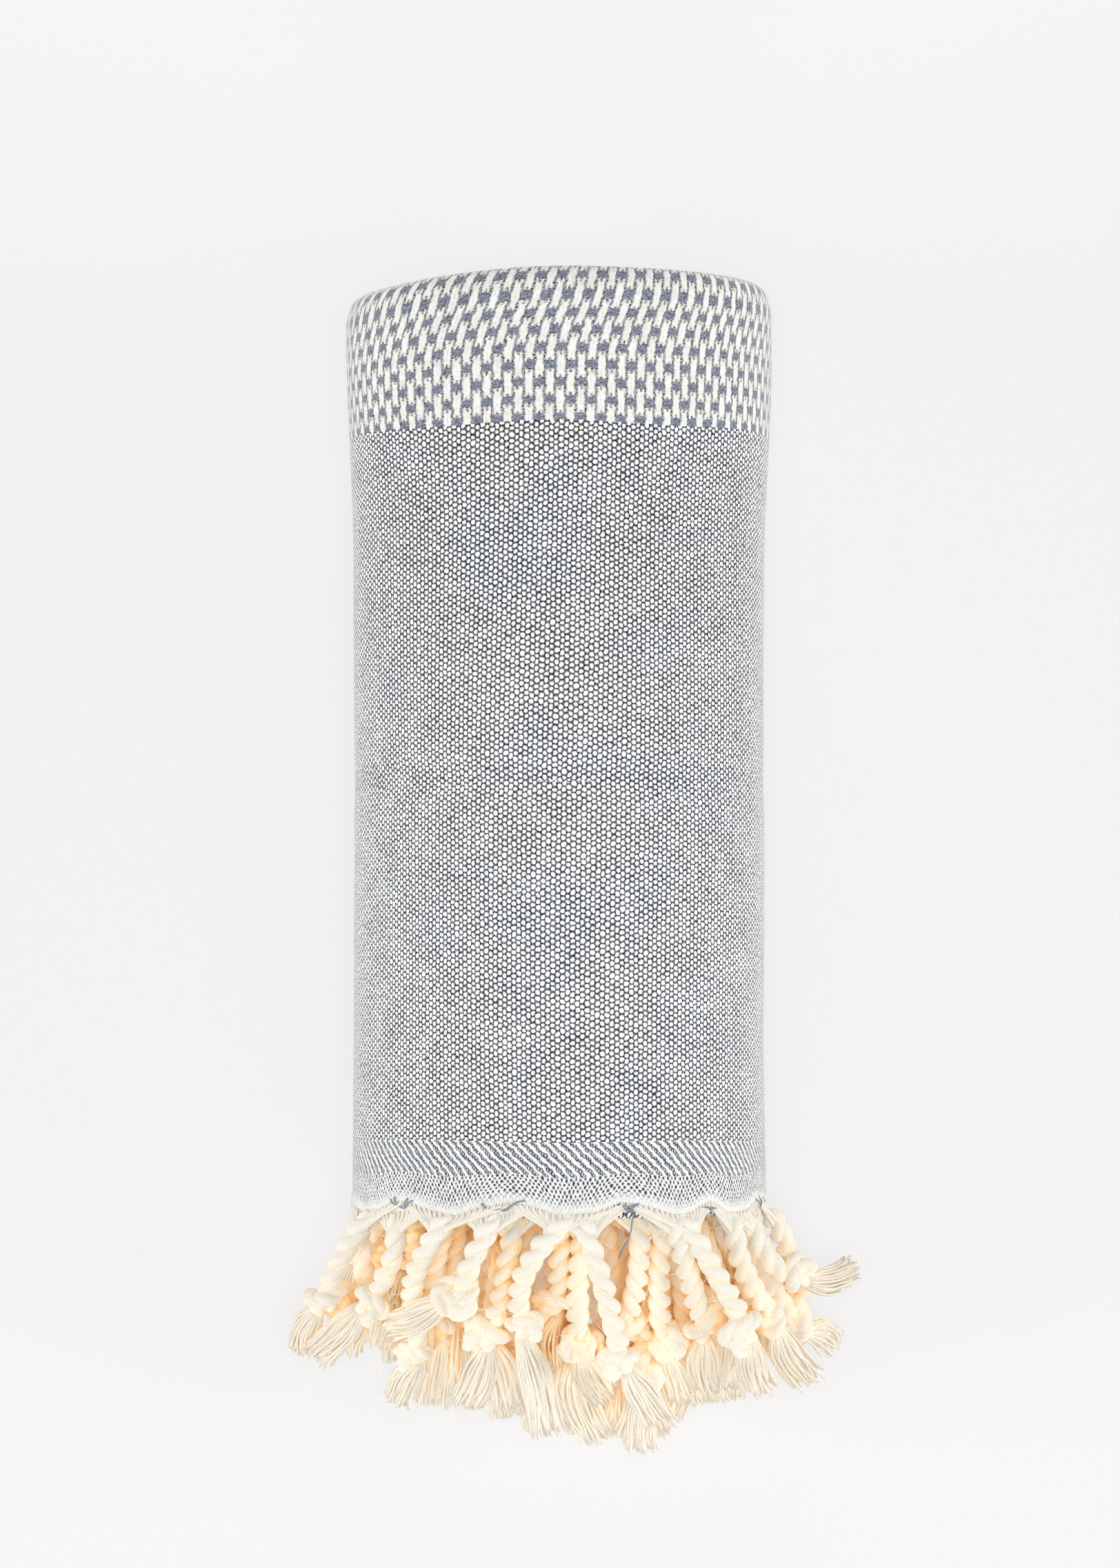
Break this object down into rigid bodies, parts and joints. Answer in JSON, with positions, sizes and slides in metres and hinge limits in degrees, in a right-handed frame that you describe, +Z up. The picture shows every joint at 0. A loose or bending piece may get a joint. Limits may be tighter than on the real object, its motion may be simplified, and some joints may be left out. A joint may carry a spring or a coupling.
{
  "type": "beach towel",
  "caption": "Flat-woven cotton beach towel with a knotted fringe, folded lengthwise and rolled up, lying on its side.",
  "frame": {"origin": "middle of the flat spot under the roll, half-way along the rolled cloth", "axes": "+Y along the roll's axis towards its folded end, so the fringe points to -Y; +Z up from the surface that it lies on"},
  "size_m": [0.1396, 0.2931, 0.0978],
  "materials": {
    "towel_cloth": "flat-woven cotton, matte",
    "fringe_yarn": "twisted cotton yarn, matte"
  },
  "bodies": {
    "root": {"towel": "towel_cloth", "fringe": "fringe_yarn"}
  },
  "joints": []
}
